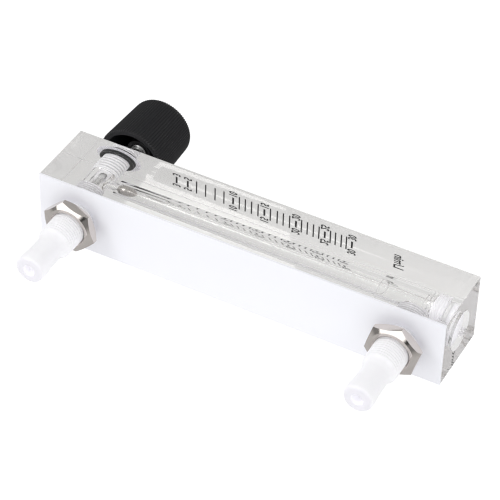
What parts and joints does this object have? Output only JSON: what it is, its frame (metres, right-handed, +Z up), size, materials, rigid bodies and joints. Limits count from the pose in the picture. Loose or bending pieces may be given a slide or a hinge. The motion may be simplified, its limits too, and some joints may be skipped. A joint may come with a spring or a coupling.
{
  "type": "gas flowmeter",
  "caption": "Clear block gas flowmeter with a float ball in a tapered bore, a needle valve knob, hose barbs and panel nuts.",
  "frame": {"origin": "middle of the whole part in X and Y, at the level of the long side it lies on", "axes": "+X along the block from the knob end to the outlet end, +Y out of the scale face towards the knob, +Z up from the side it lies on"},
  "size_m": [0.145, 0.086, 0.025],
  "materials": {
    "clear_acrylic": "polished clear",
    "white_sheet": "matt",
    "white_nylon": "satin",
    "black_rubber": "matt",
    "white_silicone": "translucent",
    "nickel_plate": "bright",
    "steel": "fine turned",
    "polished_steel": "mirror",
    "black_plastic": "satin"
  },
  "bodies": {
    "block": {"meter_block": "clear_acrylic", "back_sheet": "white_sheet", "inlet_port": "white_nylon", "outlet_port": "white_nylon", "inlet_port_seal": "black_rubber", "outlet_port_seal": "black_rubber", "inlet_nut": "nickel_plate", "outlet_nut": "nickel_plate", "valve_bush": "white_nylon", "valve_bush_seal": "black_rubber", "end_plug": "white_nylon", "end_plug_seal": "white_silicone"},
    "carrier": {"spindle_seal": "black_rubber"},
    "control": {"valve_spindle": "steel", "knob": "black_plastic", "knob_insert": "nickel_plate"},
    "float": {"float_ball": "polished_steel"}
  },
  "joints": [
    {"name": "valve_lift", "type": "slide", "parent": "block", "child": "carrier", "axis": [0, 1, 0], "range_m": [0, 0.0032]},
    {"name": "knob_turn", "type": "hinge", "parent": "carrier", "child": "control", "pos_m": [-0.058, 0.03, 0.0125], "axis": [0, 1, 0], "range_deg": [0, 1440]},
    {"name": "float_rise", "type": "slide", "parent": "block", "child": "float", "axis": [1, 0, 0], "range_m": [0, 0.107]}
  ],
  "couplings": [
    {"joint": "valve_lift", "follows": "knob_turn", "m_per_rad": 0.00012732}
  ]
}
